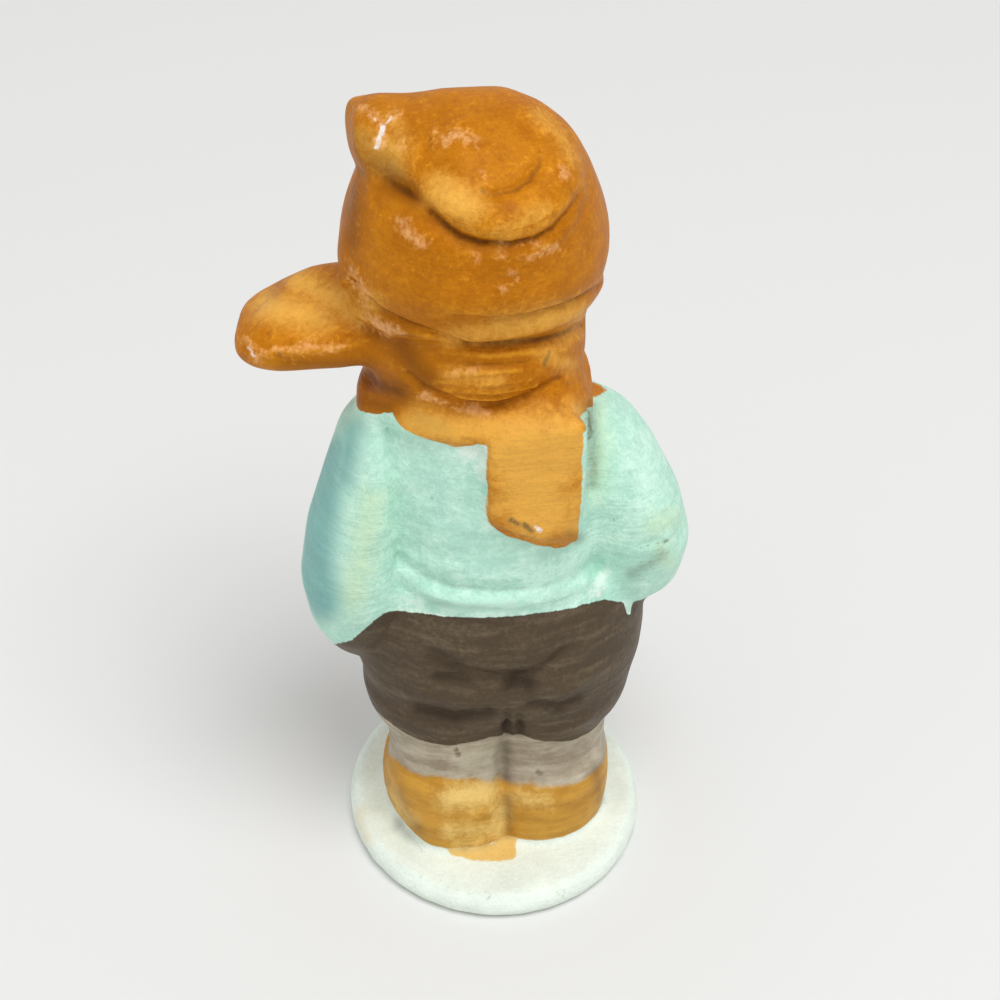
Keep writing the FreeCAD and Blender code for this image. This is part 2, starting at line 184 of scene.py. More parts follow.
class Surface:
    # the skin's points and normals while it is shaped
    def __init__(self, mesh):
        self.mesh = mesh
        self.points = readPoints(mesh)
        self.edges = readEdges(mesh)
        self.refresh()

    def refresh(self):
        writePoints(self.mesh, self.points)
        self.normals = readNormals(self.mesh)
        shape = bmesh.new()
        shape.from_mesh(self.mesh)
        self.tree = BVHTree.FromBMesh(shape)
        shape.free()

    def near(self, spots, width):
        # the points near a line laid onto the skin through these spots, and how near, 0 to 1
        line = [throughPhoto(self.tree, spot) for spot in spaced(spots, strokeLook["step"])]
        line = [point for point in line if point is not None]
        if not line:
            print("line beside the figure:", spots)
            return np.zeros(0, int), np.zeros(0)
        line = spaced(line, strokeLook["gap"])
        share = np.ones(len(line))
        if len(line) > 2:
            wave = np.linspace(*strokeLook["wave"], len(line)) * math.pi
            share = np.sin(wave) ** strokeLook["fade"]
        reach = strokeLook["reach"] * width
        inBox = np.all((self.points > line.min(0) - reach) & (self.points < line.max(0) + reach), 1)
        chosen = np.flatnonzero(inBox)
        gaps = ((self.points[chosen, None, :] - line[None]) ** 2).sum(2)
        return chosen, (share * np.exp(-gaps / width ** 2)).max(1)

    def stroke(self, spots, width, height):
        # raises a soft line through these spots, or presses it in where height is negative
        chosen, amount = self.near(spots, width)
        self.points[chosen] += self.normals[chosen] * (amount * height)[:, None]

    def melt(self, spots, width, steps):
        # smooths the skin near these spots
        chosen, amount = self.near(spots, width)
        share = np.zeros(len(self.points))
        share[chosen] = np.minimum(1, 2 * amount) * strokeLook["meltShare"]
        touched = self.edges[(share[self.edges] > strokeLook["meltLeast"]).any(1)]
        local, edges = np.unique(touched, return_inverse=True)
        self.points[local] = relaxed(self.points[local], edges.reshape(-1, 2), steps, share[local, None])


# where the solids' edges are smoothed away: spots, width in mm and steps
melted = [
    ([(575, 95), (590, 130), (598, 170), (600, 200)], 2.0, 60),
    ([(500, 100), (530, 110), (560, 140), (575, 170)], 1.5, 40),
    ([(405, 140), (412, 170), (430, 192)], 2.0, 90),
    ([(395, 100), (430, 95), (470, 92)], 1.5, 40),
    ([(500, 412), (530, 408), (560, 404), (590, 398)], 1.6, 90),
    ([(492, 410), (490, 440)], 1.0, 60),
    ([(378, 372), (385, 395), (410, 405), (450, 412), (500, 413), (560, 400), (590, 380),
      (598, 370)], 1.5, 90),
    ([(596, 300), (590, 330), (588, 360)], 1.5, 60),
    ([(392, 320), (420, 338), (470, 345), (520, 345), (560, 335), (590, 318)], 1.2, 50),
    ([(420, 315), (460, 322), (510, 322), (560, 310), (600, 290)], 1.0, 40),
    ([(352, 262), (358, 290), (375, 312), (400, 325)], 1.2, 40),
    ([(384, 430), (392, 480), (396, 530), (397, 560)], 1.8, 90),
    ([(572, 546), (583, 540), (584, 525)], 1.3, 90),
    ([(388, 556), (396, 566), (400, 580)], 1.6, 120),
    ([(586, 560), (592, 568), (600, 580)], 1.6, 120),
    ([(590, 500), (596, 530), (598, 570)], 1.6, 90),
    ([(430, 212), (446, 226), (460, 237), (480, 244), (510, 246), (535, 241), (555, 230),
      (575, 205)], 0.9, 30),
    ([(496, 527), (499, 520)], 0.6, 20),
    ([(330, 280), (345, 270), (348, 262)], 1.6, 60),
    ([(583, 526), (582, 538), (574, 543)], 0.9, 40),
]

# spots along the line, width and height in mm; the fine ones come last
capLines = [
    ([(387, 182), (405, 192), (425, 205), (442, 222)], 0.60, -0.20),
    ([(432, 212), (446, 226), (460, 237), (480, 244), (510, 246), (535, 241),
      (555, 230), (570, 212), (580, 197)], 0.50, -0.60),
    ([(362, 98), (395, 97), (430, 95), (465, 93)], 1.8, 0.40),
    ([(350, 98), (347, 108)], 1.3, -0.40),
    ([(404, 140), (410, 165)], 1.4, 0.35),
    ([(412, 170), (428, 188), (446, 202)], 1.2, 0.45),
    ([(566, 128), (580, 155), (588, 185)], 2.0, 0.45),
    ([(415, 236), (450, 252), (490, 260), (530, 258), (562, 243), (587, 220)], 1.3, 0.30),
    ([(477, 192), (492, 195), (515, 190), (530, 180), (540, 165), (542, 150)], 0.42, -0.34),
    ([(430, 200), (465, 216), (500, 221), (532, 214), (556, 193), (562, 168)], 1.5, 0.40),
    ([(382, 176), (392, 184), (404, 190), (418, 196)], 0.7, -0.55),
    ([(355, 125), (362, 150), (375, 168), (392, 178)], 1.2, 0.45),
    ([(436, 124), (434, 148)], 0.30, 0.20),
    ([(403, 147), (407, 143)], 0.40, 0.25),
    ([(426, 84), (431, 96)], 0.35, -0.30),
    ([(353, 102), (352, 125), (356, 143)], 1.4, -0.30),
    ([(345, 195), (344, 215)], 1.5, -0.20),
    ([(345, 246), (346, 262)], 1.6, 0.36),
]
brimLines = [
    ([(588, 352), (591, 364), (592, 378)], 1.3, -0.60),
    ([(369, 374), (367, 386)], 1.1, -0.45),
    ([(362, 404), (366, 408)], 1.2, 0.30),
    ([(600, 287), (580, 300), (555, 310), (525, 317), (490, 320), (455, 318)], 0.42, -0.42),
    ([(592, 322), (567, 335), (542, 342), (505, 346), (467, 345), (437, 337), (405, 325),
      (380, 312), (365, 297), (355, 282)], 0.45, -0.55),
    ([(262, 353), (300, 351), (345, 346), (380, 338), (402, 330)], 0.45, 0.22),
    ([(343, 285), (360, 270)], 0.30, 0.18),
    ([(360, 272), (368, 300)], 0.30, 0.14),
    ([(266, 332), (269, 334)], 0.40, -0.18),
    ([(268, 285), (257, 295), (252, 306)], 2.2, -0.68),
    ([(290, 283), (314, 277), (345, 274)], 2.2, 0.62),
    ([(332, 273), (350, 268)], 1.6, 0.28),
    ([(278, 355), (280, 356)], 0.25, -0.20),
]
scarfLines = [
    ([(560, 378), (545, 387), (525, 397), (500, 403), (470, 404), (442, 397), (422, 387),
      (408, 374)], 0.45, -0.50),
    ([(430, 368), (470, 374), (520, 373), (560, 362)], 1.2, 0.20),
    ([(444, 373), (480, 372), (520, 369)], 0.28, 0.34),
    ([(436, 380), (480, 383), (528, 379)], 0.28, 0.32),
    ([(446, 388), (490, 391), (535, 385)], 0.28, 0.32),
    ([(455, 396), (495, 398), (525, 393)], 0.26, 0.26),
    ([(440, 351), (490, 356), (545, 349)], 0.30, 0.18),
    ([(440, 363), (500, 366), (545, 359)], 0.30, -0.20),
    ([(591, 408), (592, 440), (590, 485)], 0.40, -0.20),
    ([(564, 404), (563, 430), (561, 448)], 0.30, -0.20),
    ([(591, 408), (594, 440), (592, 490)], 0.50, -0.45),
]
jumperLines = [
    ([(390, 440), (394, 480), (396, 520), (396, 556)], 1.8, 0.42),
    ([(397, 450), (398, 500), (397, 550)], 0.9, -0.08),
    ([(399, 588), (401, 608)], 1.1, 0.45),
    ([(398, 556), (420, 575), (450, 588), (490, 592), (540, 590), (577, 577), (594, 562)], 0.60, -0.50),
    ([(400, 566), (425, 590), (460, 603), (510, 606), (560, 598), (596, 584)], 0.8, 0.28),
    ([(420, 560), (450, 572), (490, 577), (540, 574), (575, 560)], 0.9, 0.16),
    ([(400, 584), (430, 603), (465, 610), (515, 610), (560, 600), (595, 586)], 0.40, -0.22),
    ([(640, 546), (655, 541), (668, 543)], 0.28, -0.16),
    ([(640, 552), (656, 548), (672, 530)], 0.35, 0.16),
]
shortsLines = [
    ([(507, 712), (507, 736)], 0.30, -0.59),
    ([(519, 710), (519, 734)], 0.30, -0.45),
    ([(435, 655), (465, 671), (495, 677), (521, 682)], 0.60, -0.62),
    ([(521, 682), (547, 670), (573, 645)], 0.65, -0.62),
    ([(514, 680), (524, 683)], 0.90, -0.65),
    ([(417, 708), (455, 717), (490, 711)], 0.55, -0.55),
    ([(437, 677), (466, 679)], 0.45, -0.39),
    ([(530, 703), (560, 708), (577, 699)], 0.50, -0.49),
    ([(425, 695), (460, 701), (495, 698)], 0.80, 0.42),
    ([(535, 690), (565, 690), (590, 675)], 0.90, 0.42),
    ([(450, 660), (490, 664)], 1.2, 0.26),
    ([(430, 731), (460, 734), (490, 727)], 0.60, 0.29),
    ([(530, 727), (560, 730), (588, 718)], 0.60, 0.29),
    ([(391, 795), (397, 818), (411, 836)], 1.5, -0.55),
    ([(502, 744), (501, 780), (502, 824)], 0.50, -0.40),
    ([(432, 840), (465, 848), (485, 840)], 0.35, -0.14),
]


# the levels at which the casting is divided, in mm
levels = {
    "base": 2.2,
    "shoe": 8.8,
    "leg": 12.5,
    "crotch": 16.1,
    "waist": 27.0,
    "blouse": 30.4,
    "shoulder": 43.0,
}


def shapeSkin():
    skin = Surface(joinedSkin(list(nodes), skinLook["voxel"]))
    flat = skin.points[:, 2] < skinLook["underside"]
    # the boots and the base keep sharper edges than the forms above them
    share = skinLook["relaxShare"] * np.interp(
        skin.points[:, 2], skinLook["relaxHeights"], [1.0, skinLook["baseShare"], 1.0])
    skin.points = relaxed(skin.points, skin.edges, skinLook["relaxSteps"], share[:, None])
    skin.points[flat, 2] = 0
    skin.refresh()
    for spots, width, steps in melted:
        skin.melt(spots, width, steps)
    skin.refresh()
    skin.points += skin.normals * skinLook["swell"] * (~flat)[:, None]
    skin.refresh()
    base = skin.points[:, 2] < levels["base"]
    basePoints = skin.points[base]
    for lines in (capLines, brimLines, scarfLines, jumperLines, shortsLines):
        for spots, width, height in lines:
            skin.stroke(spots, width, height)
        skin.refresh()
    skin.points[base] = basePoints
    skin.refresh()
    print("skin shaped:", len(skin.points), "points")
    return skin


# the neck leans forwards, and the brim and the crown start at these lengths along it
neck = {"foot": (1.25, 0.0, 44.5), "lean": 12.0, "brim": 5.4, "crown": 7.6, "yokeDepth": 10}

# the roll of the folded tail, a round block along its own axis
foldRoll = {
    "radius": 5.5,
    "length": 8,
    "axis": (-0.177, 0.53, 0.829),
    "centre": (1.25, 0.11, 55.5),
    "out": 12.0,
}

# how far across or back a piece starts: the scarf end in y, the cap's tip and the head in x
starts = {"scarf_tail": 7.3, "cap_tip": 4.6, "head": 6.4}
headLevels = (40, 60)
far = 60.0  # past everything

# pieces that lie beside each other part along outlines: (x, z) seen from the back, and
# (y, z) seen from the side for the tip and the tail of the cap
outlines = {
    "left_sleeve": [(8.4, 42.9), (8.4, 27), (11.7, 16.2), (far, 16.2), (far, 42.9)],
    "right_sleeve": [(-6.6, 42.9), (-6.6, 27), (-11.2, 20), (-far, 20), (-far, 42.9)],
    "scarf_tail": [(-5.6, 32.9), (2.0, 36.3), (2.0, 44.8), (-5.6, 44.8)],
    "bill": [(9.9, 42), (9.4, 46.6), (10.2, 50.4), (10.6, 51.6), (far, 51.6), (far, 42)],
    "cap_tip": [(12, 60.6), (12, 70), (-12, 70), (-12, 59.6)],
    "cap_tail": [(12, 60.1), (2.5, 63.9), (1.0, 61.5), (-12, 60.0), (-12, 70), (12, 70)],
}


def meshFrom(shape, name):
    bmesh.ops.recalc_face_normals(shape, faces=shape.faces)
    mesh = bpy.data.meshes.new(name)
    shape.to_mesh(mesh)
    shape.free()
    return mesh


def block(low, high):
    shape = bmesh.new()
    size = [top - bottom for bottom, top in zip(low, high)]
    middle = [(top + bottom) / 2 for bottom, top in zip(low, high)]
    bmesh.ops.create_cube(shape, size=1)
    bmesh.ops.scale(shape, vec=size, verts=shape.verts)
    bmesh.ops.translate(shape, vec=middle, verts=shape.verts)
    return meshFrom(shape, "cutter")


def neckBlock(low, high):
    # from one level of the leaning neck to another
    shape = bmesh.new()
    bmesh.ops.create_cube(shape, size=1)
    bmesh.ops.scale(shape, vec=(far, far, high - low), verts=shape.verts)
    bmesh.ops.translate(shape, vec=(0, 0, (low + high) / 2), verts=shape.verts)
    lean = Matrix.Rotation(math.radians(neck["lean"]), 4, "X")
    bmesh.ops.transform(shape, matrix=Matrix.Translation(neck["foot"]) @ lean, verts=shape.verts)
    return meshFrom(shape, "cutter")


def outlineBlock(name, axis, low, high):
    # an outline in the upright plane across axis, pulled along it from low to high
    outline = outlines[name]
    shape = bmesh.new()
    if axis == "y":
        corners = [shape.verts.new((x, low, z)) for x, z in outline]
        pull = (0, high - low, 0)
    else:
        corners = [shape.verts.new((low, y, z)) for y, z in outline]
        pull = (high - low, 0, 0)
    face = shape.faces.new(corners)
    pulled = bmesh.ops.extrude_face_region(shape, geom=[face])["geom"]
    pulled = [item for item in pulled if isinstance(item, bmesh.types.BMVert)]
    bmesh.ops.translate(shape, vec=pull, verts=pulled)
    return meshFrom(shape, "cutter")


def foldBlock():
    shape = bmesh.new()
    radius = foldRoll["radius"]
    bmesh.ops.create_cone(
        shape, cap_ends=True, segments=48, radius1=radius, radius2=radius, depth=foldRoll["length"])
    axis = Vector(foldRoll["axis"])
    turn = axis.to_track_quat("Z", "Y").to_matrix().to_4x4()
    centre = Vector(foldRoll["centre"]) + axis * foldRoll["out"]
    bmesh.ops.transform(shape, matrix=Matrix.Translation(centre) @ turn, verts=shape.verts)
    return meshFrom(shape, "cutter")


def combined(mesh, cutter, operation):
    holder = bpy.data.objects.new("part", mesh)
    tool = bpy.data.objects.new("tool", cutter)
    scene.collection.objects.link(holder)
    scene.collection.objects.link(tool)
    cut = holder.modifiers.new("cut", "BOOLEAN")
    cut.operation = operation
    cut.solver = "MANIFOLD"
    cut.object = tool
    result = bpy.data.meshes.new_from_object(holder.evaluated_get(bpy.context.evaluated_depsgraph_get()))
    bpy.data.objects.remove(holder)
    bpy.data.objects.remove(tool)
    return result


def cutters():
    # node by node, each takes its share of what is left of the skin
    low = levels["base"]
    yield "base_disc", block((-far, -far, -1), (far, far, low))
    for name, top in (("shoe", "shoe"), ("leg", "leg"), ("shorts_leg", "crotch")):
        yield f"left_{name}", block((0, -far, low), (far, far, levels[top]))
        yield f"right_{name}", block((-far, -far, low), (0, far, levels[top]))
        low = levels[top]
    yield "left_sleeve", outlineBlock("left_sleeve", "y", -far, far)
    yield "right_sleeve", outlineBlock("right_sleeve", "y", -far, far)
    yield "shorts_seat", block((-far, -far, low), (far, far, levels["waist"]))
    yield "jumper_hem", block((-far, -far, levels["waist"]), (far, far, levels["blouse"]))
    yield "scarf_tail", outlineBlock("scarf_tail", "y", starts["scarf_tail"], far)
    yield "jumper_body", block((-far, -far, levels["blouse"]), (far, far, levels["shoulder"]))
    yield "scarf_yoke", neckBlock(-neck["yokeDepth"], 0)
    yield "bill", outlineBlock("bill", "y", -far, far)
    yield "cap_tip", outlineBlock("cap_tip", "x", starts["cap_tip"], far)
    yield "cap_tail", outlineBlock("cap_tail", "x", -far, starts["cap_tip"])
    yield "cap_fold", foldBlock()
    yield "cap_crown", neckBlock(neck["crown"], far)
    yield "cap_brim", neckBlock(neck["brim"], neck["crown"])
    yield "head", block((starts["head"], -far, headLevels[0]), (far, far, headLevels[1]))


def parted(skin):
    rest = skin.mesh
    pieces = {}
    for name, cutter in cutters():
        pieces[name] = combined(rest, cutter, "INTERSECT")
        rest = combined(rest, cutter, "DIFFERENCE")
        bpy.data.meshes.remove(cutter)
    pieces["scarf_wrap"] = rest
    for name, mesh in pieces.items():
        print("  piece", name, len(mesh.vertices), "points")
    return pieces


# each painted edge runs round the figure: how ragged and how soft it is in mm, the spots of
# the photograph, then levels at turns that it doesn't show (degrees from +X towards +Y, mm)
paintEdges = {
    "scarfEdge": {
        "ragged": 0.5,
        "soft": 0.06,
        "spots": [(360, 411), (378, 413), (392, 413), (400, 425), (430, 440), (455, 447), (488, 446),
                  (520, 440), (560, 428), (588, 408), (596, 396), (606, 390)],
        "hidden": [(-30, 41.6), (-60, 42.4), (-90, 42.8), (-120, 42.4), (-150, 41.6)],
    },
    "hemEdge": {
        "ragged": 0.4,
        "soft": 0.06,
        "spots": [(352, 640), (364, 630), (375, 620), (386, 612), (397, 611), (408, 612), (430, 614),
                  (490, 617), (540, 613), (585, 604), (606, 600), (624, 602), (627, 614), (631, 614),
                  (633, 602), (645, 600), (656, 594)],
        "hidden": [(-10, 17.2), (-25, 18.4), (-38, 20.6), (-48, 23.4), (-56, 25.4), (-66, 26.6),
                   (-78, 27.0), (-102, 27.0), (-114, 26.6), (-124, 25.6), (-134, 24.0), (-146, 22.0),
                   (-160, 20.8)],
    },
    "legEdge": {
        "ragged": 0.5,
        "soft": 0.06,
        "spots": [(390, 722), (408, 735), (437, 744), (448, 746), (463, 743), (490, 737), (507, 734),
                  (525, 736), (543, 741), (569, 741), (591, 731), (607, 718)],
        "hidden": [(-30, 12.6), (-60, 12.5), (-90, 12.8), (-120, 12.5), (-150, 12.6)],
    },
    "bootEdge": {
        "ragged": 0.8,
        "soft": 0.25,
        "spots": [(388, 748), (396, 760), (408, 769), (441, 777), (470, 779), (496, 777), (503, 779),
                  (515, 783), (532, 785), (572, 784), (591, 773), (605, 757)],
        "hidden": [(-30, 8.8), (-60, 8.6), (-90, 8.4), (-120, 8.6), (-150, 8.8)],
    },
}

# a kind of mark, then its spots with a radius in photograph points
marks = {
    "chipMark": [
        ([(383, 127), (382, 133)], 3.0), ([(382, 130), (379, 140), (377, 148)], 2.0),
        ([(392, 117), (385, 125)], 1.6), ([(371, 116), (379, 124)], 1.0),
        ([(536, 527), (541, 531)], 2.0), ([(248, 347), (254, 355)], 1.4),
        ([(512, 276), (514, 277)], 2.0), ([(598, 596), (603, 588)], 2.0),
    ],
    "whiteMark": [
        ([(466, 454), (483, 450), (485, 470)], 8.0), ([(486, 448), (487, 480)], 4.0),
        ([(489, 500), (492, 522)], 4.0), ([(592, 594), (600, 582), (606, 572)], 5.0),
        ([(400, 608), (440, 616), (490, 619), (540, 615)], 1.5), ([(624, 604), (629, 612)], 3.0),
        ([(398, 598), (420, 605)], 3.0),
    ],
    # rubbed paint, and painted sheen where highlights lie on the cap's top
    "wearAndSheenMark": [
        ([(352, 270), (360, 282), (366, 298)], 2.5), ([(346, 292), (355, 286)], 1.5),
        ([(370, 324), (384, 327), (398, 332)], 6.0),
        ([(345, 346), (310, 347), (285, 350), (262, 351)], 3.0),
        ([(444, 140), (460, 134), (478, 144)], 5.0), ([(436, 128), (434, 146)], 1.5),
        ([(403, 143), (405, 147)], 3.0), ([(500, 256), (530, 258), (556, 247)], 2.0),
        ([(563, 171), (564, 175)], 4.0), ([(477, 258), (479, 260)], 2.5),
        ([(502, 289), (504, 290)], 2.0), ([(402, 222), (410, 236), (424, 245)], 5.0),
        ([(480, 172), (481, 173)], 3.0), ([(246, 342), (256, 358)], 4.0),
        ([(510, 274), (516, 278)], 3.0), ([(425, 395), (460, 410), (490, 412)], 3.0),
        ([(505, 246), (540, 243)], 1.2), ([(450, 374), (477, 372)], 1.2),
        ([(364, 108), (382, 124), (380, 142)], 5.0), ([(397, 113), (385, 125)], 3.5),
        ([(352, 268), (345, 283)], 1.8), ([(362, 302), (366, 312)], 2.0),
        ([(366, 316), (388, 330)], 5.0),
    ],
    # pale orange, partly thin paint on the scarf end and partly painted highlight on the tops of the
    # bill and the cap
    "paleAndHighlightMark": [
        ([(442, 192), (466, 206)], 15.0), ([(382, 140), (396, 150)], 6.0),
        ([(500, 232), (545, 212)], 2.0), ([(415, 425), (450, 430), (520, 428), (570, 420)], 16.0),
        ([(515, 450), (560, 450), (530, 480), (540, 510)], 34.0),
        ([(540, 115), (560, 135), (572, 160)], 1.0),
        ([(500, 505), (575, 500), (575, 528), (522, 520)], 13.0), ([(500, 328), (580, 312)], 9.0),
        ([(266, 305), (320, 318)], 14.0), ([(300, 282), (338, 300)], 13.0),
        ([(545, 350), (565, 365)], 4.0), ([(560, 345), (572, 330)], 5.0),
        ([(350, 312), (362, 318)], 8.0), ([(450, 376), (500, 380)], 2.0),
        ([(366, 299), (375, 305)], 4.0), ([(450, 336), (520, 334)], 4.0),
        ([(392, 122), (402, 138)], 4.0),
    ],
    "glowMark": [
        ([(465, 762), (494, 752)], 9.0), ([(494, 745), (496, 772)], 5.0),
        ([(450, 798), (487, 792)], 13.0), ([(515, 797), (545, 800)], 5.0),
        ([(450, 830), (490, 830)], 6.0), ([(497, 835), (500, 812)], 9.0),
        ([(388, 790), (410, 820)], 5.0), ([(460, 845), (480, 840)], 5.0),
    ],
    "spillMark": [
        ([(455, 847), (480, 852), (508, 852)], 9.0), ([(498, 836), (509, 840)], 8.0),
    ],
    "stainMark": [
        ([(360, 812), (362, 826), (368, 838)], 5.0),
    ],
    # painted shadow in dark orange: under the bill and the folded tip, on the bill's lower side and down
    # the cap's shaded left side
    "paintedShadowMark": [
        ([(366, 372), (380, 386), (402, 392)], 12.0), ([(352, 400), (372, 404), (388, 406)], 8.0),
        ([(372, 164), (392, 178), (410, 190)], 5.0), ([(385, 186), (395, 191), (412, 197)], 7.0),
        ([(285, 361), (330, 364), (362, 366)], 5.0), ([(402, 345), (414, 366), (426, 380)], 11.0),
        ([(352, 150), (364, 170)], 3.0), ([(380, 335), (405, 345)], 5.0),
        ([(354, 190), (353, 240)], 8.0),
    ],
    "shadeMark": [
        ([(370, 376), (382, 386), (400, 392)], 3.0), ([(505, 745), (507, 776)], 7.0),
        ([(508, 682), (528, 683)], 9.0), ([(508, 716), (508, 734)], 2.5),
        ([(519, 716), (519, 734)], 2.5), ([(430, 655), (465, 674), (495, 679)], 3.0),
        ([(530, 703), (560, 708), (577, 699)], 3.5), ([(420, 709), (455, 717), (490, 711)], 4.5),
        ([(437, 677), (470, 680)], 3.5), ([(400, 790), (407, 812), (418, 828)], 1.5),
        ([(597, 770), (600, 800)], 3.0), ([(570, 535), (578, 538)], 5.0),
        ([(591, 408), (593, 440), (591, 484)], 5.0), ([(632, 574), (662, 556)], 4.0),
        ([(430, 603), (470, 606), (530, 604)], -1.0), ([(508, 800), (509, 830)], 4.0),
    ],
    "tealMark": [
        ([(330, 440), (318, 500), (312, 560), (318, 600)], 24.0), ([(352, 430), (342, 480)], 12.0),
    ],
    "limeMark": [
        ([(372, 500), (362, 560), (352, 600)], 11.0), ([(594, 410), (600, 440), (594, 490)], 7.0),
        ([(655, 525), (668, 520)], 8.0), ([(660, 550), (668, 560)], 5.0),
        ([(362, 136), (370, 153), (384, 163), (398, 171)], 6.0), ([(420, 418), (440, 426)], 2.0),
    ],
    # dirt spots and dark cracks, and a painted shadow line along the scarf end's right edge
    "grimeAndShadowMark": [
        ([(511, 520), (518, 524)], 2.2), ([(524, 525), (532, 531)], 2.6),
        ([(556, 536), (559, 537)], 2.0), ([(549, 352), (544, 366)], 1.3),
        ([(279, 354), (279, 356)], 1.8), ([(589, 412), (590, 440)], 2.2),
        ([(483, 190), (484, 192)], 1.6), ([(567, 383), (568, 385)], 1.2),
        ([(456, 750), (458, 754)], 2.4), ([(538, 772), (541, 773)], 2.2),
        ([(641, 548), (655, 543), (667, 541)], 0.9), ([(432, 498), (432, 499)], 1.0),
        ([(614, 519), (614, 520)], 1.0),
    ],
    # greenish dotted dirt, and painted shade in the groove right of the scarf end and low on the right
    # sleeve
    "mossAndShadeMark": [
        ([(640, 547), (655, 541), (668, 538)], 4.0), ([(640, 532), (672, 525)], 5.0),
        ([(588, 450), (589, 500)], 5.0), ([(645, 560), (660, 575)], 6.0),
        ([(650, 860), (640, 870)], 8.0), ([(420, 880), (520, 905), (600, 885)], 6.0),
        ([(590, 710), (575, 722)], 6.0), ([(430, 740), (470, 736)], 5.0),
        ([(640, 572), (664, 550)], 12.0), ([(592, 412), (593, 484)], 8.0),
    ],
}


markLook = {
    "step": 3,  # photograph points between two spots of a mark
    "outside": -5.0,  # mm, what a point far from every mark is given
    "margin": 60,  # photograph points round a mark that are measured
    "behind": 3.5,  # mm behind a mark where it starts to fade
    "behindPerPoint": 0.15,  # and so much more for each point of its radius
    "facing": 0.2,  # it fades where the skin faces away more than this
    "facingFade": 6,  # mm for each unit of that
}


def edgeHeights(tree, edge):
    # (turn, height) pairs round the figure
    found = []
    for spot in edge["spots"]:
        point = throughPhoto(tree, spot)
        if point is not None:
            found.append((math.degrees(math.atan2(point.y, point.x)), point.z))
    found += edge["hidden"]
    found.sort()
    return np.array(found)


def ringDistance(points, heights):
    turns = np.degrees(np.arctan2(points[:, 1], points[:, 0]))
    return points[:, 2] - np.interp(turns, heights[:, 0], heights[:, 1], period=360)


def markLines(tree, shapes):
    # each mark as points of the photograph, how far away the skin lies there, and a radius
    lines = []
    for spots, radius in shapes:
        line = [(spot, throughPhoto(tree, spot)) for spot in spaced(spots, markLook["step"])]
        line = [(spot, point) for spot, point in line if point is not None]
        if not line:
            print("mark beside the figure:", spots)
            continue
        away = inPhoto(np.array([point for _, point in line]))[1]
        lines.append((np.array([spot for spot, _ in line]), away, radius))
    return lines


def markDistance(seen, facing, depth, lines):
    # how far inside the nearest mark of a kind, in mm; it fades where the skin turns away
    # from the photograph's view or lies well behind the mark
    best = np.full(len(seen), markLook["outside"])
    for line, away, radius in lines:
        low = line.min(0) - radius - markLook["margin"]
        high = line.max(0) + radius + markLook["margin"]
        near = np.flatnonzero(np.all((seen > low) & (seen < high), 1))
        gaps = np.sqrt(((seen[near, None] - line[None]) ** 2).sum(2))
        closest = gaps.argmin(1)
        inside = (radius - gaps.min(1)) * depth[near] / focal
        behind = np.abs(depth[near] - away[closest])
        inside -= np.maximum(0, behind - markLook["behind"] - radius * markLook["behindPerPoint"])
        inside -= markLook["facingFade"] * np.maximum(0, markLook["facing"] - facing[near])
        best[near] = np.maximum(best[near], inside)
    return best


# the scarf end on the back, a strap with rounded corners, in mm
strap = {"left": 1.75, "right": -4.9, "bottom": 31.8, "slant": 0.60, "round": 1.6, "back": 5.5}


def tailDistance(points):
    # how far inside the strap's outline a point lies
    middle = (strap["left"] + strap["right"]) / 2
    half = (strap["left"] - strap["right"]) / 2
    bottom = strap["bottom"] + strap["slant"] * (points[:, 0] - strap["right"])
    across = half - np.abs(points[:, 0] - middle)
    inside = np.minimum(across, points[:, 2] - bottom)
    corner = np.hypot(np.maximum(strap["round"] - across, 0),
                      np.maximum(strap["round"] - points[:, 2] + bottom, 0))
    inside = np.minimum(inside, strap["round"] - corner)
    return np.where(points[:, 1] > strap["back"], inside, markLook["outside"])


def hollowness(skin):
    # how far a point lies under the softened surface round it, in mm
    soft = relaxed(skin.points, skin.edges, skinLook["softSteps"], skinLook["softShare"])
    return ((soft - skin.points) * skin.normals).sum(1)


def pointFinder(points):
    finder = KDTree(len(points))
    for index, point in enumerate(points):
        finder.insert(point, index)
    finder.balance()
    return finder


def addField(mesh, name, values):
    field = mesh.attributes.new(name, "FLOAT", "POINT")
    field.data.foreach_set("value", values.astype(np.float32))


def paintFields(mesh, heights, lines, hollows, finder):
    points = readPoints(mesh)
    normals = readNormals(mesh)
    seen, depth = inPhoto(points)
    towards = np.array(eye) - points
    facing = (normals * towards).sum(1) / np.linalg.norm(towards, axis=1)
    for name, pairs in heights.items():
        distance = ringDistance(points, pairs)
        if name == "scarfEdge":
            distance = np.maximum(distance, tailDistance(points))
        addField(mesh, name, distance)
    for name, shapes in lines.items():
        addField(mesh, name, markDistance(seen, facing, depth, shapes))
    addField(mesh, "hollow", hollows[[finder.find(point)[1] for point in points]])


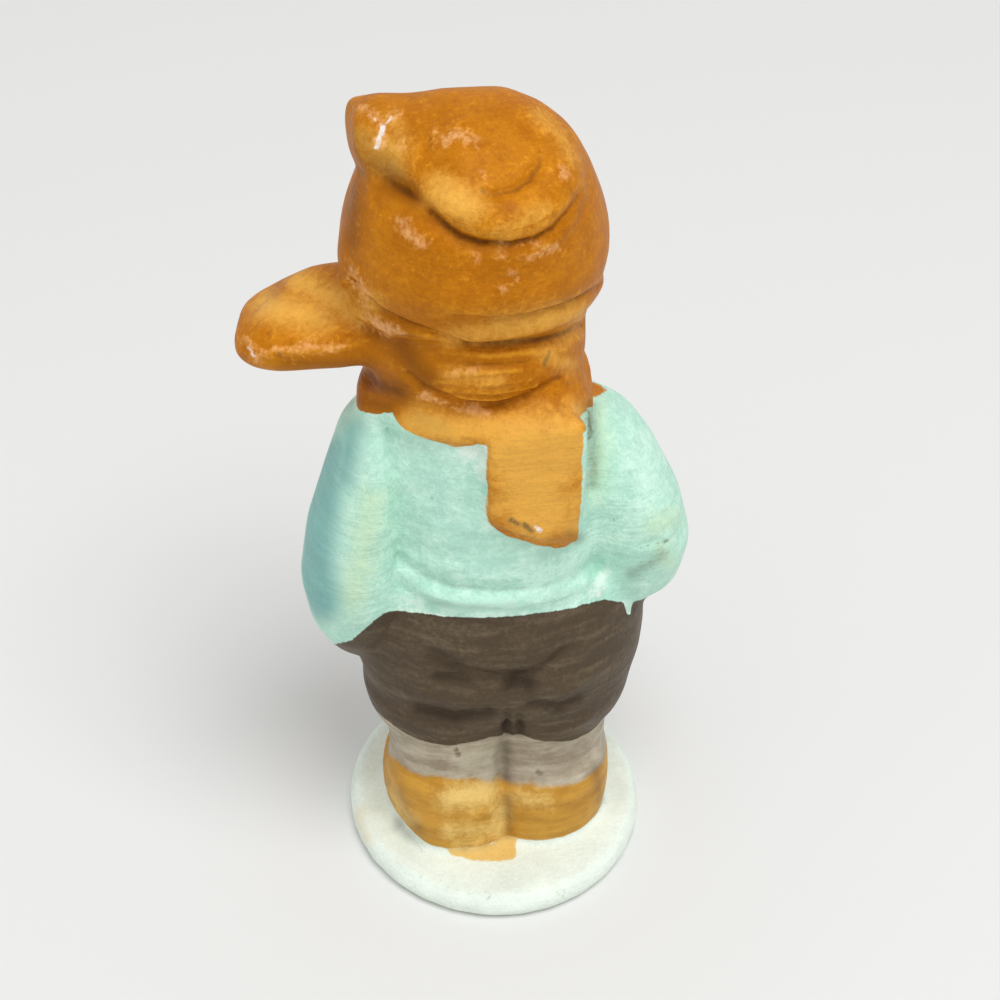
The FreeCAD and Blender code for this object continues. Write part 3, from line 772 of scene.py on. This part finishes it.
colours = {
    "plaster": (0.84, 0.92, 0.83, 1),
    "plasterDirt": (0.58, 0.56, 0.45, 1),
    "ochre": (0.60, 0.31, 0.045, 1),
    "ochreDark": (0.51, 0.25, 0.032, 1),
    "ochrePale": (0.80, 0.54, 0.17, 1),
    "leg": (0.34, 0.28, 0.20, 1),
    "legPale": (0.52, 0.46, 0.355, 1),
    "legGlow": (0.50, 0.46, 0.34, 1),
    "bare": (0.80, 0.93, 0.83, 1),
    "brown": (0.088, 0.062, 0.038, 1),
    "brownPale": (0.165, 0.125, 0.078, 1),
    "mint": (0.47, 0.78, 0.64, 1),
    "mintBlue": (0.24, 0.50, 0.46, 1),
    "mintPale": (0.63, 0.90, 0.76, 1),
    "lime": (0.56, 0.74, 0.46, 1),
    "orange": (0.56, 0.20, 0.006, 1),
    "orangeDeep": (0.45, 0.14, 0.002, 1),
    # dark orange: painted shade in the hollows and painted shadow under the bill
    "orangeShade": (0.22, 0.065, 0.002, 1),
    # light orange: painted highlight on the crests, and pale random specks
    "orangeSpeckAndHighlight": (0.76, 0.32, 0.018, 1),
    "orangePale": (0.87, 0.47, 0.085, 1),
    "orangeStale": (0.42, 0.28, 0.07, 1),
    # pale rubbed paint and painted sheen
    "wearAndSheen": (0.88, 0.47, 0.20, 1),
    "shade": (0.42, 0.38, 0.36, 1),
    "chip": (0.84, 0.78, 0.74, 1),
    # dark dirt, also painted shadow
    "grimeAndShadow": (0.12, 0.09, 0.04, 1),
    # greenish dirt, also painted shade
    "mossAndShade": (0.20, 0.24, 0.13, 1),
}


class NodeBoard:
    # a few words for the nodes that a paint material is made of
    def __init__(self, tree):
        self.tree = tree

    def node(self, kind, **settings):
        made = self.tree.nodes.new(kind)
        for name, value in settings.items():
            setattr(made, name, value)
        return made

    def put(self, socket, value):
        if isinstance(value, bpy.types.NodeSocket):
            self.tree.links.new(value, socket)
        else:
            socket.default_value = value

    def math(self, operation, first, second):
        made = self.node("ShaderNodeMath", operation=operation)
        self.put(made.inputs[0], first)
        self.put(made.inputs[1], second)
        return made.outputs[0]

    def plus(self, first, second):
        return self.math("ADD", first, second)

    def times(self, first, second):
        return self.math("MULTIPLY", first, second)

    def rest(self, share):
        return self.math("SUBTRACT", 1, share)

    def centred(self, noise, amount):
        return self.times(self.math("SUBTRACT", noise, 0.5), amount)

    def ramp(self, value, low, high):
        made = self.node("ShaderNodeMapRange", interpolation_type="SMOOTHSTEP")
        self.put(made.inputs["Value"], value)
        self.put(made.inputs["From Min"], low)
        self.put(made.inputs["From Max"], high)
        return made.outputs["Result"]

    def mix(self, share, first, second, blend="MIX"):
        made = self.node("ShaderNodeMix", data_type="RGBA", blend_type=blend)
        self.put(made.inputs["Factor"], share)
        self.put(made.inputs["A"], first)
        self.put(made.inputs["B"], second)
        return made.outputs["Result"]

    def field(self, name):
        return self.node("ShaderNodeAttribute", attribute_name=name).outputs["Fac"]

    def noise(self, place, scale, stretch=(1, 1, 1), detail=4, rough=0.6):
        mapping = self.node("ShaderNodeMapping")
        self.put(mapping.inputs["Vector"], place)
        mapping.inputs["Scale"].default_value = stretch
        made = self.node("ShaderNodeTexNoise")
        self.put(made.inputs["Vector"], mapping.outputs[0])
        made.inputs["Scale"].default_value = scale
        made.inputs["Detail"].default_value = detail
        made.inputs["Roughness"].default_value = rough
        return made.outputs["Fac"]


# repeats in a metre
patterns = {"coarse": 180, "medium": 700, "fine": 2600, "grain": 5200, "streaks": 240, "ridges": 300}

# where two tones of paint meet: nothing of the second below the first value, all above the other
tones = {
    "dirt": (0.5, 0.8),
    "ochre": (0.3, 0.65),
    "leg": (0.3, 0.75),
    "brown": (0.4, 0.9),
    "mint": (0.25, 0.9),
    "orange": (0.1, 0.9),
    # the dark orange and shade tones are painted shade in the hollows, the light orange tone is painted
    # highlight on the crests
    "orangeShade": (0.2, 1.7),
    "orangeSpeckAndHighlight": (0.2, 1.6),
    "specks": (0.60, 0.78),
    "shade": (0.3, 2.2),
    "mossAndShade": (0.35, 0.8),
}

# how ragged the edge of a mark is, and where it starts and is full, in mm inside its outline
markEdges = {
    "glowMark": (1.5, -0.7, 0.9),
    "stainMark": (0.8, -0.6, 0.7),
    "spillMark": (0.5, -0.08, 0.12),
    "limeMark": (1.5, -1.2, 1.0),
    "tealMark": (1.0, -0.8, 1.2),
    "whiteMark": (0.8, -0.4, 0.5),
    "paleAndHighlightMark": (1.3, -1.1, 1.2),
    "paintedShadowMark": (1.0, -0.9, 0.9),
    "wearAndSheenMark": (1.6, -0.3, 0.6),
    "shadeMark": (1.0, -0.6, 0.7),
    "chipMark": (0.35, -0.06, 0.08),
    "grimeAndShadowMark": (0.4, -0.12, 0.16),
}

# how much of its colour each mark or tone gives
strengths = {
    "dirt": 0.2,
    "stain": 0.35,
    "legGlow": 0.8,
    "limeOnMint": 0.6,
    "bare": 0.85,
    "light": 0.78,
    "paintedShadow": 0.75,
    "specks": 0.35,
    "limeOnOrange": 0.45,
    "wearAndSheen": 0.7,
    "shade": 0.8,
    "chip": 0.9,
    "grimeAndShadow": 0.8,
    "mossAndShade": 0.35,
}

paintLook = {
    "hollow": 9.0,  # how strongly hollows and crests change the tone, as painted shade in the hollows and painted highlight on the crests
    "bootRagged": 0.0004,  # m
    "bootFoot": (0.0026, 0.0028),  # m, where the boots' paint starts on the base
    "streakTone": 0.34,
    "mottleTone": 0.16,
    "grainTone": 0.14,
    "roughness": 0.42,
    "roughnessSpread": 0.25,
    "bumpHeight": 0.0003,  # m
    "bumpStrength": 0.7,
}

# how much each pattern raises the surface
reliefs = {"fine": 0.30, "medium": 0.50, "grain": 0.08, "streaks": 0.45, "ridges": 0.40}


def paintGroup():
    group = bpy.data.node_groups.new("castPaint", "ShaderNodeTree")
    group.interface.new_socket("Color", in_out="OUTPUT", socket_type="NodeSocketColor")
    group.interface.new_socket("Roughness", in_out="OUTPUT", socket_type="NodeSocketFloat")
    group.interface.new_socket("Height", in_out="OUTPUT", socket_type="NodeSocketFloat")
    board = NodeBoard(group)
    place = board.node("ShaderNodeTexCoord").outputs["Object"]
    coarse = board.noise(place, patterns["coarse"])
    medium = board.noise(place, patterns["medium"])
    fine = board.noise(place, patterns["fine"], detail=3)
    grain = board.noise(place, patterns["grain"], detail=2)
    streaks = board.noise(place, patterns["streaks"], stretch=(1, 1, 5), detail=7)
    ridges = board.noise(place, patterns["ridges"], stretch=(0.6, 0.6, 8), detail=3)
    hollowShade = board.times(board.field("hollow"), paintLook["hollow"])
    crestHighlight = board.times(board.field("hollow"), -paintLook["hollow"])
    mottle = board.plus(board.centred(medium, 1.0), board.centred(fine, 0.8))

    def edge(name):
        ragged, soft = paintEdges[name]["ragged"], paintEdges[name]["soft"]
        wobble = board.plus(board.centred(medium, ragged), board.centred(fine, ragged * 0.5))
        return board.ramp(board.plus(board.field(name), wobble), -soft, soft)

    def mark(name):
        ragged, start, full = markEdges[name]
        return board.ramp(board.plus(board.field(name), board.times(mottle, ragged)), start, full)

    def twoTone(name, value, first, second):
        return board.mix(board.ramp(value, *tones[name]), first, second)

    def lay(name, share, below, colour):
        return board.mix(board.times(share, strengths[name]), below, colours[colour])

    # base plaster, then the paints from the boots up
    dirt = board.ramp(coarse, *tones["dirt"])
    colour = lay("dirt", dirt, colours["plaster"], "plasterDirt")
    ochre = twoTone("ochre", board.plus(streaks, board.centred(medium, 0.4)),
                    colours["ochreDark"], colours["ochre"])
    glow = mark("glowMark")
    ochre = board.mix(glow, ochre, colours["ochrePale"])
    height = board.node("ShaderNodeSeparateXYZ")
    board.put(height.inputs[0], place)
    level = board.plus(height.outputs["Z"], board.centred(medium, paintLook["bootRagged"]))
    onBoot = board.ramp(level, *paintLook["bootFoot"])
    colour = board.mix(onBoot, colour, ochre)
    colour = lay("stain", mark("stainMark"), colour, "ochrePale")
    spill = board.times(mark("spillMark"), board.rest(onBoot))
    colour = board.mix(spill, colour, colours["ochrePale"])
    leg = twoTone("leg", board.plus(streaks, board.centred(medium, 0.6)),
                  colours["leg"], colours["legPale"])
    leg = lay("legGlow", glow, leg, "legGlow")
    colour = board.mix(edge("bootEdge"), colour, leg)
    brown = twoTone("brown", board.plus(streaks, board.centred(fine, 0.5)),
                    colours["brown"], colours["brownPale"])
    onShorts = edge("legEdge")
    colour = board.mix(onShorts, colour, brown)
    mint = twoTone("mint", board.plus(coarse, mottle), colours["mint"], colours["mintPale"])
    lime = mark("limeMark")
    mint = lay("limeOnMint", lime, mint, "lime")
    mint = board.mix(mark("tealMark"), mint, colours["mintBlue"])
    onJumper = edge("hemEdge")
    colour = board.mix(onJumper, colour, mint)
    # where the paint is thin over the white plaster; the shorts are covered
    bare = board.times(mark("whiteMark"), board.rest(board.times(onShorts, board.rest(onJumper))))
    colour = lay("bare", bare, colour, "bare")

    # scarf, cap and bill: painted shade in the hollows, painted highlight on the crests
    orange = twoTone("orange", board.plus(coarse, mottle), colours["orangeDeep"], colours["orange"])
    orange = twoTone("orangeShade", board.plus(hollowShade, board.centred(streaks, 1.0)),
                     orange, colours["orangeShade"])
    orange = twoTone("orangeSpeckAndHighlight", board.plus(crestHighlight, mottle), orange, colours["orangeSpeckAndHighlight"])
    # pale orange: thin paint on the scarf end, painted highlight on the bill and the cap
    orange = lay("light", mark("paleAndHighlightMark"), orange, "orangePale")
    # painted shadow under the bill and the tip, and on the cap's shaded side
    orange = lay("paintedShadow", mark("paintedShadowMark"), orange, "orangeShade")
    specks = board.ramp(board.plus(fine, board.centred(streaks, 0.6)), *tones["specks"])
    orange = lay("specks", specks, orange, "orangeSpeckAndHighlight")
    orange = lay("limeOnOrange", lime, orange, "orangeStale")
    colour = board.mix(edge("scarfEdge"), colour, orange)

    # wear and dirt over all of it, with painted shade in the creases and hollows, painted shadow and
    # painted sheen
    # rubbed paint and painted sheen
    colour = lay("wearAndSheen", mark("wearAndSheenMark"), colour, "wearAndSheen")
    shade = board.math("MAXIMUM", mark("shadeMark"), board.ramp(hollowShade, *tones["shade"]))
    shade = board.times(shade, strengths["shade"])
    colour = board.mix(shade, colour, colours["shade"], "MULTIPLY")
    colour = lay("chip", mark("chipMark"), colour, "chip")
    # dirt spots, and a painted shadow line beside the scarf end
    colour = lay("grimeAndShadow", mark("grimeAndShadowMark"), colour, "grimeAndShadow")
    # greenish dotted dirt, and painted shade in the groove beside the scarf end
    mossAndShade = board.plus(board.times(board.field("mossAndShadeMark"), 0.35), board.centred(fine, 3.2))
    colour = lay("mossAndShade", board.ramp(mossAndShade, *tones["mossAndShade"]), colour, "mossAndShade")
    tone = board.plus(board.centred(streaks, paintLook["streakTone"]),
                      board.times(mottle, paintLook["mottleTone"]))
    tone = board.plus(board.plus(tone, board.centred(grain, paintLook["grainTone"])), 1.0)
    colour = board.mix(1.0, colour, tone, "MULTIPLY")

    relief = board.times(fine, reliefs["fine"])
    for name, noise in (("medium", medium), ("grain", grain), ("streaks", streaks), ("ridges", ridges)):
        relief = board.plus(relief, board.times(noise, reliefs[name]))
    out = board.node("NodeGroupOutput")
    board.put(out.inputs["Color"], colour)
    spread = board.centred(medium, paintLook["roughnessSpread"])
    board.put(out.inputs["Roughness"], board.plus(paintLook["roughness"], spread))
    board.put(out.inputs["Height"], relief)
    return group


# how much light each paint throws back
finishes = {
    "base_plaster": 0.10,
    "shoe_paint": 0.14,
    "leg_paint": 0.10,
    "shorts_paint": 0.10,
    "jumper_paint": 0.12,
    "scarf_paint": 0.08,
    "cap_paint": 0.08,
    "bill_paint": 0.08,
}


def paintMaterial(name, specular, group):
    material = bpy.data.materials.new(name)
    material.use_nodes = True
    tree = material.node_tree
    shader = tree.nodes["Principled BSDF"]
    paint = tree.nodes.new("ShaderNodeGroup")
    paint.node_tree = group
    bump = tree.nodes.new("ShaderNodeBump")
    bump.inputs["Distance"].default_value = paintLook["bumpHeight"]
    bump.inputs["Strength"].default_value = paintLook["bumpStrength"]
    tree.links.new(paint.outputs["Color"], shader.inputs["Base Color"])
    tree.links.new(paint.outputs["Roughness"], shader.inputs["Roughness"])
    tree.links.new(paint.outputs["Height"], bump.inputs["Height"])
    tree.links.new(bump.outputs["Normal"], shader.inputs["Normal"])
    shader.inputs["Specular IOR Level"].default_value = specular
    return material


slotOf = {
    "base_disc": "base_plaster", "left_shoe": "shoe_paint", "right_shoe": "shoe_paint",
    "left_leg": "leg_paint", "right_leg": "leg_paint", "left_shorts_leg": "shorts_paint",
    "right_shorts_leg": "shorts_paint", "shorts_seat": "shorts_paint", "jumper_hem": "jumper_paint",
    "jumper_body": "jumper_paint", "left_sleeve": "jumper_paint", "right_sleeve": "jumper_paint",
    "scarf_yoke": "scarf_paint", "scarf_wrap": "scarf_paint", "scarf_tail": "scarf_paint",
    "head": "cap_paint", "bill": "bill_paint", "cap_brim": "cap_paint", "cap_crown": "cap_paint",
    "cap_fold": "cap_paint", "cap_tail": "cap_paint", "cap_tip": "cap_paint",
}


def finishPieces(pieces, heights, lines, hollows, finder):
    group = paintGroup()
    materials = {name: paintMaterial(name, specular, group) for name, specular in finishes.items()}
    for node, mesh in pieces.items():
        name = node + "_cast"
        mesh.name = name
        paintFields(mesh, heights, lines, hollows, finder)
        mesh.transform(Matrix.Scale(millimetre, 4))
        mesh.materials.clear()
        mesh.materials.append(materials[slotOf[node]])
        mesh.shade_smooth()
        mesh.set_sharp_from_angle(angle=math.radians(skinLook["sharpAngle"]))
        piece = bpy.data.objects.new(name, mesh)
        scene.collection.objects.link(piece)
        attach(piece, "root")
        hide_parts(node)
    print("pieces finished:", len(pieces))


def addCamera():
    data = bpy.data.cameras.new("photoCamera")
    data.sensor_width = photoView["sensor"]
    data.lens = photoView["sensor"] / 2 / math.tan(math.radians(photoView["angle"] / 2))
    camera = bpy.data.objects.new("photoCamera", data)
    camera.location = eye * millimetre
    camera.rotation_mode = "QUATERNION"
    camera.rotation_quaternion = (-viewBack).to_track_quat("-Z", "Y")
    data.clip_start, data.clip_end = photoView["clip"]
    scene.collection.objects.link(camera)
    scene.camera = camera


studio = {
    "floorSize": 3.0,
    "floorColour": (0.80, 0.80, 0.79, 1),
    "floorRoughness": 0.9,
    "worldStrength": 0.60,
    "worldSeen": 0.82,
    "floorFade": (0.14, 0.50),  # m, where the floor runs into the background
    "lightAim": (0, 0, 0.03),  # m
    "key": {"place": (-0.10, 0.24, 0.62), "size": 0.40, "power": 2.4},
    "fill": {"place": (0.35, 0.20, 0.30), "size": 0.5, "power": 0.15},
}


def addFloor():
    shape = bmesh.new()
    bmesh.ops.create_grid(shape, x_segments=1, y_segments=1, size=studio["floorSize"] / 2)
    floor = bpy.data.objects.new("studioFloor", meshFrom(shape, "studioFloor"))
    material = bpy.data.materials.new("studioFloor")
    material.use_nodes = True
    shader = material.node_tree.nodes["Principled BSDF"]
    shader.inputs["Base Color"].default_value = studio["floorColour"]
    shader.inputs["Roughness"].default_value = studio["floorRoughness"]
    board = NodeBoard(material.node_tree)
    place = board.node("ShaderNodeTexCoord").outputs["Object"]
    radius = board.node("ShaderNodeVectorMath", operation="LENGTH")
    board.put(radius.inputs[0], place)
    fade = board.ramp(radius.outputs["Value"], *studio["floorFade"])
    fade = board.times(fade, board.node("ShaderNodeLightPath").outputs["Is Camera Ray"])
    backdrop = board.node("ShaderNodeEmission")
    backdrop.inputs["Strength"].default_value = studio["worldSeen"]
    blend = board.node("ShaderNodeMixShader")
    board.put(blend.inputs[0], fade)
    board.put(blend.inputs[1], shader.outputs[0])
    board.put(blend.inputs[2], backdrop.outputs[0])
    board.put(material.node_tree.nodes["Material Output"].inputs["Surface"], blend.outputs[0])
    floor.data.materials.append(material)
    scene.collection.objects.link(floor)


def addLight(name, light):
    data = bpy.data.lights.new(name, "AREA")
    data.shape = "DISK"
    data.size = light["size"]
    data.energy = light["power"]
    lamp = bpy.data.objects.new(name, data)
    lamp.location = light["place"]
    aim = Vector(studio["lightAim"]) - lamp.location
    lamp.rotation_euler = aim.to_track_quat("-Z", "Y").to_euler()
    scene.collection.objects.link(lamp)


def addStudio():
    addFloor()
    addLight("keyLight", studio["key"])
    addLight("fillLight", studio["fill"])
    world = bpy.data.worlds.new("studioWorld")
    world.use_nodes = True
    background = world.node_tree.nodes["Background"]
    background.inputs["Color"].default_value = (1, 1, 1, 1)
    # the world lights the figure softly, and rays that see it directly find the floor's pale tone
    board = NodeBoard(world.node_tree)
    light = board.node("ShaderNodeLightPath")
    seen = board.math("MAXIMUM", light.outputs["Is Camera Ray"], light.outputs["Is Glossy Ray"])
    strength = board.node("ShaderNodeMapRange")
    strength.inputs["To Min"].default_value = studio["worldStrength"]
    strength.inputs["To Max"].default_value = studio["worldSeen"]
    board.put(strength.inputs["Value"], seen)
    board.put(background.inputs["Strength"], strength.outputs["Result"])
    scene.world = world


addCamera()
addStudio()
print("camera and studio ready")
skin = shapeSkin()
hollows = hollowness(skin)
skinFinder = pointFinder(skin.points)
edgeLines = {name: edgeHeights(skin.tree, edge) for name, edge in paintEdges.items()}
markLinesByKind = {name: markLines(skin.tree, shapes) for name, shapes in marks.items()}
finishPieces(parted(skin), edgeLines, markLinesByKind, hollows, skinFinder)
